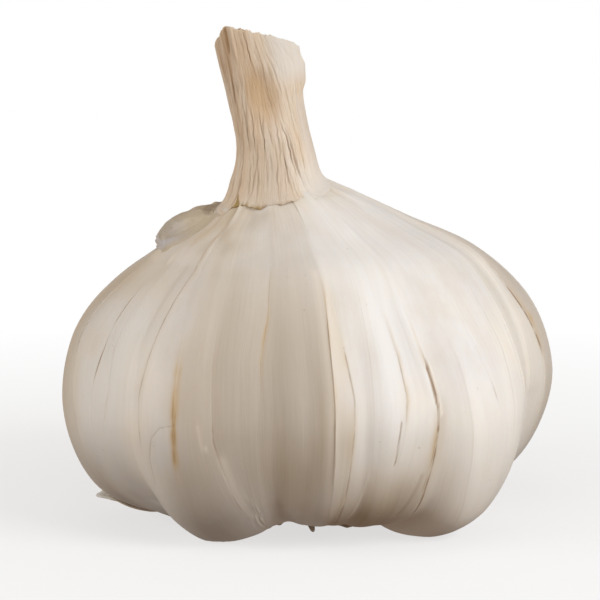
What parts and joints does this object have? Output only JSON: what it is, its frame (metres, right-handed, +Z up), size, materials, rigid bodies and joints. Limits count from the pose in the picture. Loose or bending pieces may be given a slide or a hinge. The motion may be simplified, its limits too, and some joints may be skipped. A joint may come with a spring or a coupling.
{
  "type": "garlic bulb",
  "caption": "Whole dried garlic bulb with lobed, papery-skinned cloves, a short cut neck that leans, a recessed root plate and torn outer skins.",
  "frame": {"origin": "middle of the bounding box in X and Y, at the height of the flat spots on the clove feet that the bulb rests on", "axes": "-Z is the outward normal of the flat spots it rests on, so +Z goes up through the bulb to the neck; -Y faces the picture's camera; +X is to the right in the picture, away from the way the neck leans"},
  "size_m": [0.0604, 0.0558, 0.06],
  "materials": {
    "bulb_skin": "satin ivory papery skin with fine lengthwise veins",
    "neck_straw": "dry, matte, wrinkled straw",
    "root_cork": "matte, corky brown",
    "torn_skin": "thin, dry, greyish papery skin"
  },
  "bodies": {
    "root": {"bulb": "bulb_skin", "neck": "neck_straw", "root_plate": "root_cork", "base_skin": "torn_skin", "shoulder_skin": "torn_skin"}
  },
  "joints": []
}
